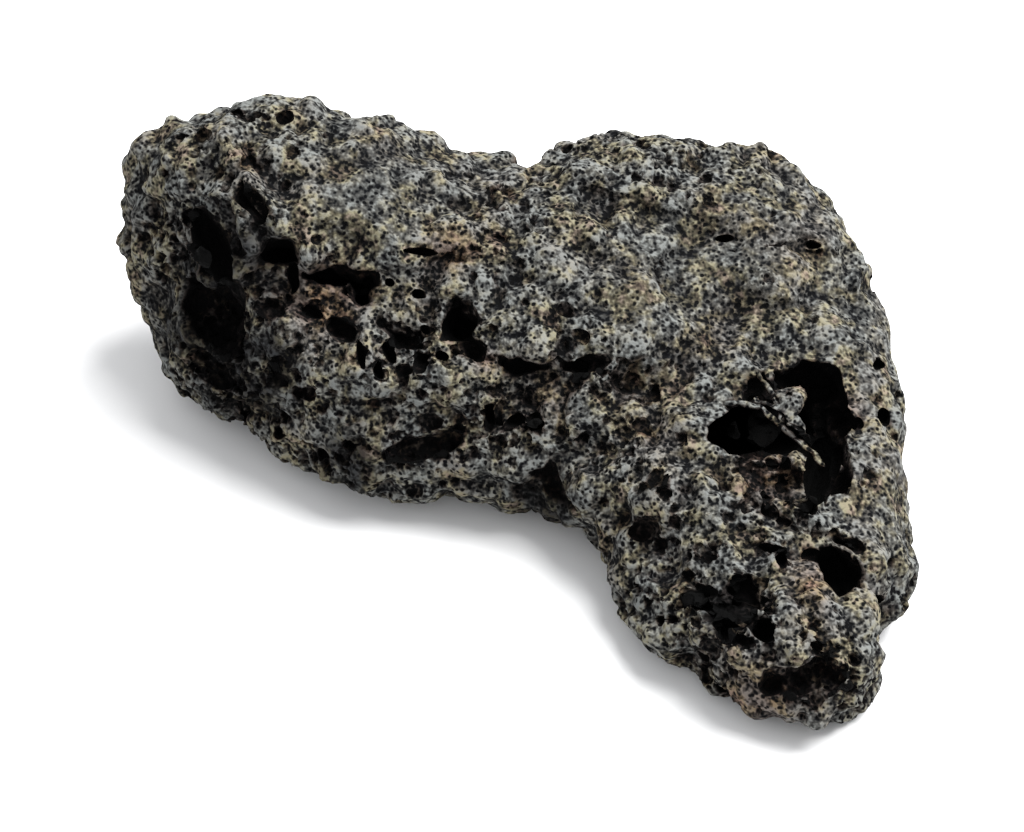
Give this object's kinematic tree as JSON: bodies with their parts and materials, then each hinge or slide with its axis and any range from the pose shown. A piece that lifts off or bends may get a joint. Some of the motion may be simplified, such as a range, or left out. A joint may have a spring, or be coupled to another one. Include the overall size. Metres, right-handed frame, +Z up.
{
  "type": "lava rock",
  "caption": "Boomerang-shaped piece of dark vesicular lava rock with open gas bubbles, resting flat on its underside.",
  "frame": {"origin": "centre of the stone's bounding box in plan, at the level of the surface it rests on", "axes": "+X along the high arm, from its blunt end towards the leg; -Y towards the leg's foot; +Z up"},
  "size_m": [0.12, 0.097, 0.0482],
  "materials": {
    "basalt": "rough, dull, finely pitted dark grey volcanic stone"
  },
  "bodies": {
    "root": {"lava_rock": "basalt"}
  },
  "joints": []
}
